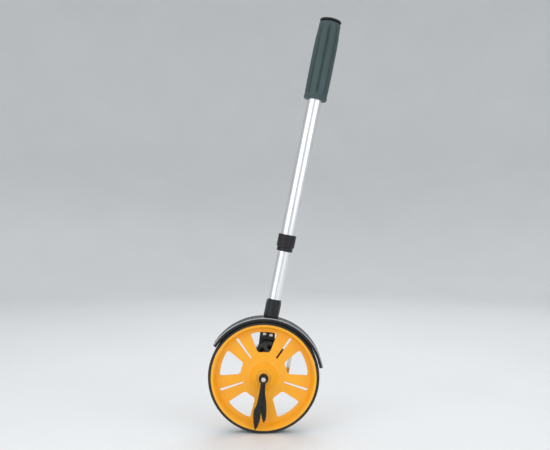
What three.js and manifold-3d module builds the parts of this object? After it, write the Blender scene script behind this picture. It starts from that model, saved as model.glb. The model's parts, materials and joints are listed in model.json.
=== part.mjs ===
// Measuring wheel: a spoked wheel with a solid tyre, a one-sided fork that carries a mudguard and a
// five-drum distance counter, two swing-down stand legs, and a telescopic handle that leans forward.
// Millimetres, +Z up. The origin is the point where the tyre touches the ground. The axle runs along
// Y: the stand legs are on the -Y side, the fork and the counter on the +Y side.
// Parts that lean with the handle are drawn upright in a group that is turned about the axle. There
// x is the distance to the side of the axle and z the distance along the handle from the axle.

import * as THREE from 'three';
import { mergeVertices } from 'three/addons/utils/BufferGeometryUtils.js';
import Module from 'manifold-3d';

const wasm = await Module();
wasm.setup();

// ---------------------------------------------------------------- driving dimensions

const ROLL_LENGTH = 500;                           // ground covered by one turn of the wheel
const RADIUS = ROLL_LENGTH / (2 * Math.PI);
const LEAN = THREE.MathUtils.degToRad(11.4);       // handle away from the vertical
const HANDLE_X = -6.5;                             // handle axis passes beside the axle
const GAP = 0.3;                                   // between neighbouring pieces
const SPOKES = 5;
const WHEEL_FACETS = 48;
const TUBE_FACETS = 24;
const SMALL_FACETS = 10;

const WHEEL = {
  rimOuter: 75.4, lipInner: 72.4, wallInner: 68.5, rearInner: 71.5, halfWidth: 11.5,
  webFront: 1.5, webRear: 5.5, coneOuter: 22, hubOuter: 12.5, hubFront: -9.8, hubRear: 6.0, hubRearOuter: 11,
  spigot: 7.0, spigotRear: 10.6, bore: 5.2,
};
const OPENING = { inner: 34, outer: 63.3, innerHalf: 14.5, outerHalf: 17.7, innerCorner: 5, outerCorner: 3 };
const SLOT = { inner: 30.8, outer: 66.2, innerWidth: 2.4, outerWidth: 3.6 };
const TYRE = { inner: WHEEL.rimOuter + GAP, halfWidth: 11.2, shoulder: 1.6 };
const AXLE = {
  shank: 3.0, hole: 3.3, thread: 2.0, threadStart: -19.0, tip: -23.6,
  head: 5.8, headFront: 22.6, headRear: 26.6,
};
const CAP_NUT = { seat: -20.3, hexagon: 3.6, hexHeight: 3, dome: 3.0, height: 5.6, boreDepth: 3.7 };
const SPACERS = {
  front_axle_washer: { outer: 5.2, front: -20.0, rear: -19.2 },
  stand_spacer: { outer: 6.4, front: -12.9, rear: -11.5 },
  rear_axle_spacer: { outer: 5.5, front: 12.3, rear: 15.5 },
};
const BUSH = { inner: 3.3, outer: 4.9, flange: 6.5, flangeWidth: 1.1, sleeve: 7.0 };

const GUARD = { inner: 83.5, outer: 85.5, lipInner: 80.6, halfWidth: 14, lip: 1.7, halfAngle: 68.5 };
const TAB = { left: -16, right: 4, bottom: 50, top: 82, front: 12.5, rear: 15.5 };
const GUARD_SCREWS = [[-10.6, 58], [-1.0, 58]];

const FORK = { front: 15.8, rear: 22.3, boss: 13, halfWidth: 11, shoulder: 60, bridgeLow: 90, top: 108 };
const NECK = { radius: 9.7, bottom: 85.9, top: 111.6, spigot: 7.8, spigotTop: 135 };
const RIVET = { z: 122, seat: 9.3, hole: 1.8, depth: 4 };

// Head radius and height, then shank radius and length.
const GUARD_SCREW = { head: 3.0, headHeight: 1.6, shank: 1.9, length: 9.4, hole: 2.2 };
const MOUNT_SCREW = { head: 2.8, headHeight: 1.6, shank: 1.5, length: 8.5, hole: 1.8 };
const COVER_SCREW = { head: 2.2, headHeight: 1.5, shank: 1.0, length: 9.4, hole: 1.3 };
const RIVET_BODY = { head: 2.8, headHeight: 1.3, shank: 1.5, length: 5 };

const LOWER_TUBE = { inner: 8.1, outer: 9.0, bottom: NECK.top + GAP, top: 430 };
const UPPER_TUBE = { inner: 9.4, outer: 10.3, bottom: 191.3, top: 516.9 };
const GUIDE_BUSH = { flange: 9.1, plugDepth: 12, flangeHeight: 6 };
const NUT = { bottom: 187.9, top: 206.3, outer: 12.75, inner: 11.8, mouth: 10.6, floor: 1.5, chamfer: 0.8 };
const COLLET = { bottom: 182, inner: 9.3, outer: 11.4, neck: 10.3, slit: 1.0 };
const GRIP = {
  bottom: 404, top: 517, outer: 17, inner: 10.6, flutes: 8, fluteWidth: 2.8, fluteDepth: 1.3, rounding: 3,
};
const CAP = { outer: 15.6, top: 520.7, spigot: 9.0, spigotBottom: 500, chamfer: 1.2 };

const COUNTER_Z = 30;                              // drum shaft above the axle, along the handle
const GEAR_MODULE = 1.0;
const DRIVE_TEETH = 20;
const COUNTER_TEETH = 40;                          // one turn for each metre
const GEAR_FACE = { front: 6.5, rear: 10.3 };
const GEAR_HUB = { radius: 4, rear: 15.2 };
const TOOTH = { below: 1.2, above: 0.85, rootHalf: 0.72, crownHalf: 0.28 };     // in modules
const CASE = {
  left: -13, right: 18, bottom: 17, top: 43, front: 22.6, rear: 70.4,
  wall: 2, frontWall: 1.8, chamfer: 2, corner: 5,
};
const COVER = { front: CASE.rear + GAP, thickness: 2.5 };
const DRUM = {
  radius: 9.5, first: 24.8, pitch: 9.0, band: 6.4, ring: 2.2, bore: 1.8, module: 0.8, teeth: 20,
};
const PINION_TEETH = 8;
const PINION = {
  width: 1.8, bore: 1.3, afterBand: 0.4, x: DRUM.module * (DRUM.teeth + PINION_TEETH) / 2,
};
const SHAFT = { drum: 1.5, pinion: 1.0 };
const DRUMS = ['drum_thousands', 'drum_hundreds', 'drum_tens', 'drum_units'];
const WINDOW = { halfCut: 4.5, halfPlate: 6.5, thickness: 1.6, front: 26, rear: 69.4 };
const CASE_SCREWS = [[-10.2, 19.8], [15.2, 19.8], [-10.2, 40.2], [15.2, 40.2]];
const FORK_SCREWS = [[-6.5, 40], [6.5, 20]];

const LEVER = {
  x: 22.5, z: 34, eye: 4.2, hole: 1.8, front: 23.2, rear: 25.2, armX: 33.5, armEnd: 4, width: 5,
};
const EAR = { front: 29, rear: 32 };
const PIVOT_PIN = { head: 2.8, headHeight: 1.5, shank: 1.5 };
const SPRING = { radius: 2.9, wire: 0.35, turns: 3, endGap: 0.8, sides: 6, steps: 27 };

const LEG_EYE = 6.75;
const LONG_LEG = { front: -18.9, rear: -16.1, swing: 9.9 };
const SHORT_LEG = { front: -15.8, rear: -13.2, swing: 0 };

// ---------------------------------------------------------------- materials

const finish = (color, roughness, metalness) =>
  new THREE.MeshStandardMaterial({ color, roughness, metalness });
const YELLOW_PLASTIC = finish(0xf5ad1f, 0.45, 0);
const BLACK_PLASTIC = finish(0x1b1c1d, 0.5, 0);
const TYRE_RUBBER = finish(0x141516, 0.85, 0);
const GRIP_RUBBER = finish(0x34484a, 0.8, 0);
const ALUMINIUM = finish(0xc9ccce, 0.35, 1);
const STEEL = finish(0xb4b7b9, 0.3, 1);
const NICKEL = finish(0xc8c3b8, 0.25, 1);
const BLACK_STEEL = finish(0x202122, 0.45, 0.6);
const BRONZE = finish(0xa8834d, 0.4, 1);
const ACETAL = finish(0xe6e4da, 0.5, 0);
const BLACK_ACETAL = finish(0x1e1f20, 0.5, 0);
const DRUM_WHITE = finish(0xeceae2, 0.5, 0);
const DRUM_RED = finish(0xb3261c, 0.5, 0);
const CLEAR_PLASTIC = finish(0xcfd8d8, 0.1, 0);

// ---------------------------------------------------------------- solids

// Turned about Y from [radius, y] pairs; a profile that is clear of the axis closes on itself.
function turned(profile, facets = SMALL_FACETS, start = 0) {
  const points = profile.map(([radius, y]) => new THREE.Vector2(radius, y));
  if (profile[0][0] > 0) points.push(points[0].clone());
  if (THREE.ShapeUtils.area(points) < 0) points.reverse();
  return new THREE.LatheGeometry(points, facets, start);
}

const rod = (radius, from, to, facets = SMALL_FACETS) =>
  turned([[0, from], [radius, from], [radius, to], [0, to]], facets);

const ring = (inner, outer, from, to, facets = SMALL_FACETS) =>
  turned([[inner, from], [outer, from], [outer, to], [inner, to]], facets);

// Turns a shape that was made about Y so that its axis is the handle's.
const upright = (geometry) => geometry.rotateX(Math.PI / 2).translate(HANDLE_X, 0, 0);

// A flat piece: an outline in x and z, between two y planes.
function plate(shape, front, rear, curveSegments = 6) {
  const depth = rear - front;
  const geometry = new THREE.ExtrudeGeometry(shape, { depth, bevelEnabled: false, curveSegments });
  return geometry.rotateX(Math.PI / 2).translate(0, rear, 0);
}

const outline = (points) => new THREE.Shape(points.map(([x, z]) => new THREE.Vector2(x, z)));

const block = (left, right, front, rear, bottom, top) =>
  plate(outline([[left, bottom], [right, bottom], [right, top], [left, top]]), front, rear);

const drill = (x, z, radius, front, rear) => rod(radius, front, rear).translate(x, 0, z);

function solidOf(geometry) {
  const bare = geometry.clone();
  bare.deleteAttribute('normal');
  bare.deleteAttribute('uv');
  const merged = mergeVertices(bare, 1e-4);
  const corners = merged.index.array;
  const triangles = [];
  for (let i = 0; i < corners.length; i += 3) {
    const [a, b, c] = [corners[i], corners[i + 1], corners[i + 2]];
    if (a !== b && b !== c && c !== a) triangles.push(a, b, c);
  }
  const vertProperties = Float32Array.from(merged.attributes.position.array);
  const triVerts = Uint32Array.from(triangles);
  return new wasm.Manifold(new wasm.Mesh({ numProp: 3, vertProperties, triVerts }));
}

function geometryOf(solid) {
  const mesh = solid.getMesh();
  const geometry = new THREE.BufferGeometry();
  geometry.setAttribute('position', new THREE.BufferAttribute(Float32Array.from(mesh.vertProperties), 3));
  geometry.setIndex(new THREE.BufferAttribute(Uint32Array.from(mesh.triVerts), 1));
  geometry.computeVertexNormals();
  return geometry;
}

const join = (...parts) => geometryOf(parts.map(solidOf).reduce((whole, part) => whole.add(part)));

function cut(base, ...tools) {
  return geometryOf(tools.map(solidOf).reduce((left, tool) => left.subtract(tool), solidOf(base)));
}

const common = (first, second) => geometryOf(solidOf(first).intersect(solidOf(second)));

function piece(name, geometry, material) {
  const mesh = new THREE.Mesh(geometry, material);
  mesh.name = name;
  return mesh;
}

// ---------------------------------------------------------------- wheel

// One wedge opening in the web, pointing along +x before it is turned into place.
function openingShape() {
  const { inner, outer, innerCorner, outerCorner } = OPENING;
  const innerHalf = THREE.MathUtils.degToRad(OPENING.innerHalf);
  const outerHalf = THREE.MathUtils.degToRad(OPENING.outerHalf);
  const outerArc = outerHalf - outerCorner / outer;
  const innerArc = innerHalf - innerCorner / inner;
  const tip = new THREE.Vector2(outer * Math.cos(outerHalf), outer * Math.sin(outerHalf));
  const root = new THREE.Vector2(inner * Math.cos(innerHalf), inner * Math.sin(innerHalf));
  const side = tip.clone().sub(root).normalize();
  const nearTip = tip.clone().addScaledVector(side, -outerCorner);
  const nearRoot = root.clone().addScaledVector(side, innerCorner);
  const shape = new THREE.Shape();
  shape.absarc(0, 0, outer, -outerArc, outerArc, false);
  shape.quadraticCurveTo(tip.x, tip.y, nearTip.x, nearTip.y);
  shape.lineTo(nearRoot.x, nearRoot.y);
  shape.quadraticCurveTo(root.x, root.y, inner * Math.cos(innerArc), inner * Math.sin(innerArc));
  shape.absarc(0, 0, inner, innerArc, -innerArc, true);
  shape.quadraticCurveTo(root.x, -root.y, nearRoot.x, -nearRoot.y);
  shape.lineTo(nearTip.x, -nearTip.y);
  shape.quadraticCurveTo(tip.x, -tip.y, outer * Math.cos(outerArc), -outer * Math.sin(outerArc));
  return shape;
}

// One radial slot in the middle of a spoke, wider towards the rim, with round ends.
function slotShape() {
  const innerRadius = SLOT.innerWidth / 2;
  const outerRadius = SLOT.outerWidth / 2;
  const shape = new THREE.Shape();
  shape.absarc(SLOT.outer - outerRadius, 0, outerRadius, -Math.PI / 2, Math.PI / 2, false);
  shape.absarc(SLOT.inner + innerRadius, 0, innerRadius, Math.PI / 2, 1.5 * Math.PI, false);
  return shape;
}

function spokedWheel() {
  const w = WHEEL;
  const blank = turned([
    [w.bore, w.hubFront], [w.hubOuter, w.hubFront], [w.coneOuter, w.webFront], [w.wallInner, w.webFront],
    [w.lipInner, -w.halfWidth], [w.rimOuter, -w.halfWidth], [w.rimOuter, w.halfWidth],
    [w.lipInner, w.halfWidth], [w.rearInner, w.webRear], [w.hubRearOuter, w.webRear],
    [w.hubRearOuter, w.hubRear], [w.spigot, w.hubRear], [w.spigot, w.spigotRear], [w.bore, w.spigotRear],
  ], WHEEL_FACETS, Math.PI / WHEEL_FACETS);
  const cuts = [];
  for (let spoke = 0; spoke < SPOKES; spoke += 1) {
    const openingTurn = -Math.PI / 2 + spoke * 2 * Math.PI / SPOKES;
    const slotTurn = openingTurn + Math.PI / SPOKES;
    cuts.push(plate(openingShape(), w.webFront - 1, w.webRear + 1, 4).rotateY(openingTurn));
    cuts.push(plate(slotShape(), w.webFront - 1, w.webRear + 1, 3).rotateY(slotTurn));
  }
  return piece('spoked_wheel', cut(blank, ...cuts), YELLOW_PLASTIC);
}

function tyre() {
  const crown = RADIUS / Math.cos(Math.PI / WHEEL_FACETS);    // a flat of the tread lies on the ground
  const { inner, halfWidth, shoulder } = TYRE;
  return piece('tyre', turned([
    [inner, -halfWidth], [crown - shoulder, -halfWidth], [crown, -halfWidth + shoulder],
    [crown, halfWidth - shoulder], [crown - shoulder, halfWidth], [inner, halfWidth],
  ], WHEEL_FACETS, Math.PI / WHEEL_FACETS), TYRE_RUBBER);
}

// A flanged plain bearing, its flange outside the hub face and its sleeve inside the bore.
function bush(name, hubFace, outward) {
  const { inner, outer, flange, flangeWidth, sleeve } = BUSH;
  const seat = hubFace + outward * GAP;
  const outside = seat + outward * flangeWidth;
  const inside = seat - outward * sleeve;
  return piece(name, turned([
    [inner, outside], [flange, outside], [flange, seat], [outer, seat], [outer, inside], [inner, inside],
  ]), BRONZE);
}

// Spur gear outline with straight-sided teeth, the first one at `phase` from +z.
function gearShape(module, teeth, phase) {
  const pitch = module * teeth / 2;
  const root = pitch - TOOTH.below * module;
  const crown = pitch + TOOTH.above * module;
  const { rootHalf, crownHalf } = TOOTH;
  const corners = [[root, -rootHalf], [crown, -crownHalf], [crown, crownHalf], [root, rootHalf]];
  const points = [];
  for (let tooth = 0; tooth < teeth; tooth += 1) {
    corners.forEach(([radius, across]) => {
      const angle = phase + tooth * 2 * Math.PI / teeth + across * module / radius;
      points.push([-radius * Math.sin(angle), radius * Math.cos(angle)]);
    });
  }
  return outline(points);
}

// A round hole in the middle of an outline, run the other way round from it.
function bored(shape, radius, facets = SMALL_FACETS) {
  const points = Array.from({ length: facets }, (_, corner) => {
    const angle = -corner * 2 * Math.PI / facets;
    return new THREE.Vector2(radius * Math.cos(angle), radius * Math.sin(angle));
  });
  shape.holes.push(new THREE.Path(points));
  return shape;
}

function driveGear() {
  const shape = bored(gearShape(GEAR_MODULE, DRIVE_TEETH, 0), WHEEL.spigot + GAP, TUBE_FACETS);
  const gear = piece('drive_gear', plate(shape, GEAR_FACE.front, GEAR_FACE.rear), BLACK_ACETAL);
  gear.rotation.y = LEAN;
  return gear;
}

// ---------------------------------------------------------------- axle and stand

function axleBolt() {
  const { shank, thread, threadStart, tip, head, headFront, headRear } = AXLE;
  const inHead = headRear - 1;
  const shaft = turned([
    [0, tip], [thread, tip], [thread, threadStart], [shank, threadStart], [shank, inHead], [0, inHead],
  ]);
  return piece('axle_bolt', join(rod(head, headFront, headRear, 6), shaft), STEEL);
}

function axleCapNut() {
  const { seat, hexagon, hexHeight, dome, height, boreDepth } = CAP_NUT;
  const crown = seat - height;
  const domed = turned([
    [0, crown], [dome * 0.5, crown + 0.4], [dome * 0.87, crown + 1.4], [dome, crown + 2.7], [dome, seat - 1],
    [0, seat - 1],
  ]);
  const bore = rod(AXLE.thread + GAP, seat - boreDepth, seat + 1);
  return piece('axle_cap_nut', cut(join(rod(hexagon, seat - hexHeight, seat, 6), domed), bore), STEEL);
}

// The curved sides of a leg run from its eye to its tip, as [across, down] points.
function standLeg(name, { front, rear, swing }, right, left) {
  const [across, down] = right[0];
  const shape = new THREE.Shape();
  shape.moveTo(across, -down);
  shape.splineThru(right.slice(1).map(([x, z]) => new THREE.Vector2(x, -z)));
  shape.splineThru(left.map(([x, z]) => new THREE.Vector2(x, -z)));
  const blade = plate(shape, front, rear, 2);
  const eye = rod(LEG_EYE, front, rear, TUBE_FACETS);
  const leg = piece(name, cut(join(blade, eye), drill(0, 0, AXLE.hole, front - 1, rear + 1)), BLACK_STEEL);
  leg.rotation.y = THREE.MathUtils.degToRad(swing);
  return leg;
}

const longLeg = () => standLeg('stand_leg_long', LONG_LEG,
  [[2.9, 4], [2.6, 20], [3.2, 38], [4.9, 55], [3.6, 66], [0.6, 73.4]],
  [[-2.6, 66], [-5.4, 54], [-6.0, 46], [-3.4, 37], [-2.6, 20], [-2.9, 4]]);

const shortLeg = () => standLeg('stand_leg_short', SHORT_LEG,
  [[2.9, 4], [2.2, 20], [3.7, 33], [4.1, 46], [3.2, 57], [0, 63]],
  [[-2.6, 56], [-4.0, 46], [-3.6, 34], [-2.2, 20], [-2.9, 4]]);

function axleRing(name, material) {
  const { outer, front, rear } = SPACERS[name];
  return piece(name, ring(AXLE.hole, outer, front, rear, TUBE_FACETS), material);
}

// ---------------------------------------------------------------- mudguard and fork

// Part of a ring in the x-z plane, centred on +z.
function sector(inner, outer, front, rear) {
  const half = THREE.MathUtils.degToRad(GUARD.halfAngle);
  const shape = new THREE.Shape();
  shape.absarc(0, 0, outer, Math.PI / 2 - half, Math.PI / 2 + half, false);
  shape.absarc(0, 0, inner, Math.PI / 2 + half, Math.PI / 2 - half, true);
  return plate(shape, front, rear, 16);
}

function mudguard() {
  const { inner, outer, lipInner, halfWidth, lip } = GUARD;
  const shell = join(
    sector(inner, outer, -halfWidth, halfWidth),
    sector(lipInner, outer, -halfWidth, -halfWidth + lip),
    sector(lipInner, outer, halfWidth - lip, halfWidth),
    block(TAB.left, TAB.right, TAB.front, TAB.rear, TAB.bottom, TAB.top),
  );
  const holes = GUARD_SCREWS.map(([x, z]) => drill(x, z, GUARD_SCREW.hole, TAB.front - 1, TAB.rear + 1));
  return piece('mudguard', cut(shell, ...holes), BLACK_PLASTIC);
}

function wheelFork() {
  const { front, rear, boss, halfWidth, shoulder, bridgeLow, top } = FORK;
  const left = HANDLE_X - halfWidth;
  const right = HANDLE_X + halfWidth;
  const arm = new THREE.Shape();
  arm.absarc(0, 0, boss, Math.PI, 2 * Math.PI, false);
  arm.lineTo(right, shoulder);
  arm.lineTo(right, top);
  arm.lineTo(left, top);
  arm.lineTo(left, shoulder);
  const body = join(
    plate(arm, front, rear, SMALL_FACETS),
    block(left, right, 0, front + 1, bridgeLow, top),
    upright(rod(NECK.radius, NECK.bottom, NECK.top, TUBE_FACETS)),
    upright(rod(NECK.spigot, NECK.top - 1, NECK.spigotTop, TUBE_FACETS)),
  );
  const through = [[0, 0, AXLE.hole], [0, COUNTER_Z, SHAFT.drum + GAP]]
    .concat(GUARD_SCREWS.map(([x, z]) => [x, z, GUARD_SCREW.hole]))
    .concat(FORK_SCREWS.map(([x, z]) => [x, z, MOUNT_SCREW.hole]))
    .map(([x, z, radius]) => drill(x, z, radius, front - 1, rear + 1));
  const rivetHole = drill(HANDLE_X, RIVET.z, RIVET.hole, NECK.spigot - RIVET.depth, NECK.spigot + 1);
  return piece('wheel_fork', cut(body, ...through, rivetHole), BLACK_PLASTIC);
}

// A round-headed screw along Y with its head on the side that `outward` points to.
function screw(name, [x, z], seat, outward, { head, headHeight, shank, length }) {
  const crown = seat + outward * headHeight;
  const edge = seat + outward * headHeight * 0.55;
  const tip = seat - outward * length;
  const profile = [
    [0, crown], [head * 0.7, crown], [head, edge], [head, seat], [shank, seat], [shank, tip], [0, tip],
  ];
  return piece(name, turned(profile).translate(x, 0, z), STEEL);
}

const guardScrews = () => ['mudguard_screw_left', 'mudguard_screw_right'].map((name, index) =>
  screw(name, GUARD_SCREWS[index], TAB.front - GAP, -1, GUARD_SCREW));

const counterScrews = () => FORK_SCREWS.map((place, index) =>
  screw(`counter_mount_screw_${index + 1}`, place, FORK.front - GAP, -1, MOUNT_SCREW));

// ---------------------------------------------------------------- handle

function lowerTube() {
  const { inner, outer, bottom, top } = LOWER_TUBE;
  const tube = upright(ring(inner, outer, bottom, top, TUBE_FACETS));
  const rivetHole = drill(HANDLE_X, RIVET.z, RIVET.hole, inner - 2, outer + 2);
  return piece('lower_tube', cut(tube, rivetHole), ALUMINIUM);
}

const tubeRivet = () => screw('lower_tube_rivet', [HANDLE_X, RIVET.z], RIVET.seat, 1, RIVET_BODY);

function tubeGuideBush() {
  const seat = LOWER_TUBE.top + GAP;
  const plug = LOWER_TUBE.inner - GAP;
  const { flange, plugDepth, flangeHeight } = GUIDE_BUSH;
  return piece('tube_guide_bush', upright(turned([
    [0, seat - plugDepth], [plug, seat - plugDepth], [plug, seat],
    [flange, seat], [flange, seat + flangeHeight], [0, seat + flangeHeight],
  ], TUBE_FACETS)), BLACK_PLASTIC);
}

function upperTube() {
  const { inner, outer, bottom, top } = UPPER_TUBE;
  return piece('upper_tube', upright(ring(inner, outer, bottom, top, TUBE_FACETS)), ALUMINIUM);
}

function threadBush() {
  const sleeve = ring(UPPER_TUBE.outer + GAP, NUT.inner - GAP, UPPER_TUBE.bottom, NUT.top, TUBE_FACETS);
  return piece('thread_bush', upright(sleeve), BLACK_PLASTIC);
}

function lockNut() {
  const { bottom, top, outer, inner, mouth, floor, chamfer } = NUT;
  return piece('lock_nut', upright(turned([
    [mouth, bottom], [outer - chamfer, bottom], [outer, bottom + chamfer],
    [outer, top - chamfer], [outer - chamfer, top],
    [inner, top], [inner, bottom + floor], [mouth, bottom + floor],
  ], TUBE_FACETS)), BLACK_PLASTIC);
}

// Split clamping ring: its lower collar shows under the nut, its upper flange is drawn up by it.
function collet() {
  const { bottom, inner, outer, neck, slit } = COLLET;
  const collarTop = NUT.bottom - GAP;
  const flangeBottom = NUT.bottom + NUT.floor + GAP;
  const flangeTop = UPPER_TUBE.bottom - GAP;
  const body = upright(turned([
    [inner, bottom], [outer, bottom], [outer, collarTop], [neck, collarTop],
    [neck, flangeBottom], [outer, flangeBottom], [outer, flangeTop], [inner, flangeTop],
  ], TUBE_FACETS));
  const left = HANDLE_X - slit / 2;
  const split = block(left, left + slit, 0, outer + 1, bottom - 1, flangeTop + 1);
  return piece('collet', cut(body, split), BLACK_PLASTIC);
}

function grip() {
  const { bottom, top, outer, inner, flutes, fluteWidth, fluteDepth, rounding } = GRIP;
  const halfFlute = fluteWidth / 2 / outer;
  const pitch = 2 * Math.PI / flutes;
  const section = new THREE.Shape();
  for (let flute = 0; flute < flutes; flute += 1) {
    const middle = flute * pitch;
    const floor = outer - fluteDepth;
    section.absarc(0, 0, floor, middle - halfFlute * 0.6, middle + halfFlute * 0.6, false);
    section.absarc(0, 0, outer, middle + halfFlute, middle + pitch - halfFlute, false);
  }
  const fluted = new THREE.ExtrudeGeometry(bored(section, inner, TUBE_FACETS), {
    depth: top - bottom, bevelEnabled: false, curveSegments: 3,
  }).translate(HANDLE_X, 0, bottom);
  const envelope = upright(turned([
    [0, bottom - 1], [outer - rounding + 1, bottom], [outer + 0.5, bottom + rounding],
    [outer + 0.5, top - rounding], [outer - rounding + 1, top], [0, top + 1],
  ], TUBE_FACETS));
  return piece('grip', common(fluted, envelope), GRIP_RUBBER);
}

function gripEndCap() {
  const seat = UPPER_TUBE.top + 2 * GAP;
  return piece('grip_end_cap', upright(turned([
    [0, CAP.spigotBottom], [CAP.spigot, CAP.spigotBottom], [CAP.spigot, seat], [CAP.outer, seat],
    [CAP.outer, CAP.top - CAP.chamfer], [CAP.outer - CAP.chamfer, CAP.top], [0, CAP.top],
  ], TUBE_FACETS)), BLACK_PLASTIC);
}

// ---------------------------------------------------------------- counter

function chamferedOutline(left, right, bottom, top, chamfer) {
  return outline([
    [left + chamfer, bottom], [right - chamfer, bottom], [right, bottom + chamfer], [right, top - chamfer],
    [right - chamfer, top], [left + chamfer, top], [left, top - chamfer], [left, bottom + chamfer],
  ]);
}

function counterCase() {
  const { left, right, bottom, top, front, rear, wall, frontWall, chamfer, corner } = CASE;
  const shell = join(
    plate(chamferedOutline(left, right, bottom, top, chamfer), front, rear),
    block(right - 1, LEVER.x + LEVER.eye, EAR.front, EAR.rear, LEVER.z - LEVER.eye, LEVER.z + LEVER.eye),
  );
  const inside = chamferedOutline(left + wall, right - wall, bottom + wall, top - wall, corner);
  const inWall = front + frontWall + 1;
  const screwHoles = CASE_SCREWS.map(([x, z]) => drill(x, z, COVER_SCREW.hole, rear - 8, rear + 1));
  const mountHoles = FORK_SCREWS.map(([x, z]) => drill(x, z, MOUNT_SCREW.hole, front - 1, inWall));
  return piece('counter_case', cut(
    shell,
    plate(inside, front + frontWall, rear + 1),
    block(-WINDOW.halfCut, WINDOW.halfCut, WINDOW.front, WINDOW.rear - 1, top - wall - 1, top + 1),
    drill(0, COUNTER_Z, SHAFT.drum + GAP, front - 1, inWall),
    drill(PINION.x, COUNTER_Z, SHAFT.pinion + GAP, front + 0.6, inWall),
    drill(LEVER.x, LEVER.z, LEVER.hole, EAR.front - 1, EAR.rear + 1),
    ...screwHoles,
    ...mountHoles,
  ), BLACK_PLASTIC);
}

function counterCover() {
  const { left, right, bottom, top, chamfer } = CASE;
  const rear = COVER.front + COVER.thickness;
  const bearing = COVER.front + COVER.thickness / 2;
  return piece('counter_cover', cut(
    plate(chamferedOutline(left, right, bottom, top, chamfer), COVER.front, rear),
    drill(0, COUNTER_Z, SHAFT.drum + GAP, COVER.front - 1, bearing),
    drill(PINION.x, COUNTER_Z, SHAFT.pinion + GAP, COVER.front - 1, bearing),
    ...CASE_SCREWS.map(([x, z]) => drill(x, z, COVER_SCREW.hole, COVER.front - 1, rear + 1)),
  ), BLACK_PLASTIC);
}

const coverScrews = () => CASE_SCREWS.map((place, index) => screw(`cover_screw_${index + 1}`, place,
  COVER.front + COVER.thickness + GAP, 1, COVER_SCREW));

function counterWindow() {
  const bottom = CASE.top + GAP;
  return piece('counter_window', block(-WINDOW.halfPlate, WINDOW.halfPlate, WINDOW.front - 1, WINDOW.rear,
    bottom, bottom + WINDOW.thickness), CLEAR_PLASTIC);
}

function counterGear() {
  const toothed = gearShape(GEAR_MODULE, COUNTER_TEETH, Math.PI / COUNTER_TEETH);
  const rim = plate(toothed, GEAR_FACE.front, GEAR_FACE.rear);
  const hub = rod(GEAR_HUB.radius, GEAR_FACE.rear - 1, GEAR_HUB.rear);
  const bore = rod(SHAFT.drum + GAP, GEAR_FACE.front - 1, GEAR_HUB.rear + 1);
  return piece('counter_gear', cut(join(rim, hub), bore).translate(0, 0, COUNTER_Z), BLACK_ACETAL);
}

const counterShaft = () =>
  piece('counter_shaft', rod(SHAFT.drum, GEAR_FACE.front, COVER.front + 1).translate(0, 0, COUNTER_Z), STEEL);

const pinionShaft = () => piece('pinion_shaft',
  rod(SHAFT.pinion, CASE.front + 0.9, COVER.front + 1).translate(PINION.x, 0, COUNTER_Z), STEEL);

// A numbered band with the carry ring that the neighbouring pinion turns.
function countDrum(name, index) {
  const front = DRUM.first + index * DRUM.pitch;
  const seam = front + DRUM.band;
  const rear = seam + DRUM.ring;
  const band = rod(DRUM.radius, front, seam, TUBE_FACETS);
  const carry = plate(gearShape(DRUM.module, DRUM.teeth, 0), seam - 0.4, rear);
  const drum = cut(join(band, carry), rod(DRUM.bore, front - 1, rear + 1));
  return piece(name, drum.translate(0, 0, COUNTER_Z), DRUM_WHITE);
}

function transferPinion(index) {
  const front = DRUM.first + index * DRUM.pitch + DRUM.band + PINION.afterBand;
  const shape = bored(gearShape(DRUM.module, PINION_TEETH, Math.PI / PINION_TEETH), PINION.bore);
  const pinion = plate(shape, front, front + PINION.width).translate(PINION.x, 0, COUNTER_Z);
  return piece(`transfer_pinion_${index + 1}`, pinion, ACETAL);
}

function tenthsDrum() {
  const front = DRUM.first + DRUMS.length * DRUM.pitch;
  const band = ring(DRUM.bore, DRUM.radius, front, front + DRUM.band, TUBE_FACETS);
  return piece('drum_tenths', band.translate(0, 0, COUNTER_Z), DRUM_RED);
}

// ---------------------------------------------------------------- reset lever

function resetLever() {
  const { x, z, eye, hole, front, rear, armX, armEnd, width } = LEVER;
  const half = width / 2;
  const arm = outline([
    [x, z - half], [armX - half, z - 3 * half], [armX - half, armEnd + half], [armX, armEnd],
    [armX + half, armEnd + half], [armX + half, z - half], [x, z + half],
  ]);
  const body = join(plate(arm, front, rear), rod(eye, front, rear, TUBE_FACETS).translate(x, 0, z));
  return piece('reset_lever', cut(body, drill(x, z, hole, front - 1, rear + 1)), NICKEL);
}

function resetPivotPin() {
  const seat = LEVER.front - GAP;
  const crown = seat - PIVOT_PIN.headHeight;
  const tip = EAR.rear + 1;
  const { head, shank } = PIVOT_PIN;
  const pin = turned([[0, crown], [head, crown], [head, seat], [shank, seat], [shank, tip], [0, tip]]);
  return piece('reset_pivot_pin', pin.translate(LEVER.x, 0, LEVER.z), STEEL);
}

class Coil extends THREE.Curve {
  constructor(radius, start, end, turns) {
    super();
    Object.assign(this, { radius, start, end, turns });
  }

  getPoint(t, target = new THREE.Vector3()) {
    const angle = t * this.turns * 2 * Math.PI;
    const y = THREE.MathUtils.lerp(this.start, this.end, t);
    return target.set(this.radius * Math.sin(angle), y, this.radius * Math.cos(angle));
  }
}

function resetSpring() {
  const { radius, wire, turns, endGap, sides, steps } = SPRING;
  const section = outline(Array.from({ length: sides }, (_, side) => {
    const angle = side * 2 * Math.PI / sides;
    return [wire * Math.cos(angle), wire * Math.sin(angle)];
  }));
  const extrudePath = new Coil(radius, LEVER.rear + endGap, EAR.front - endGap, turns);
  const coil = new THREE.ExtrudeGeometry(section, { extrudePath, steps, bevelEnabled: false });
  return piece('reset_spring', coil.translate(LEVER.x, 0, LEVER.z), STEEL);
}

// ---------------------------------------------------------------- assembly

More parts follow.
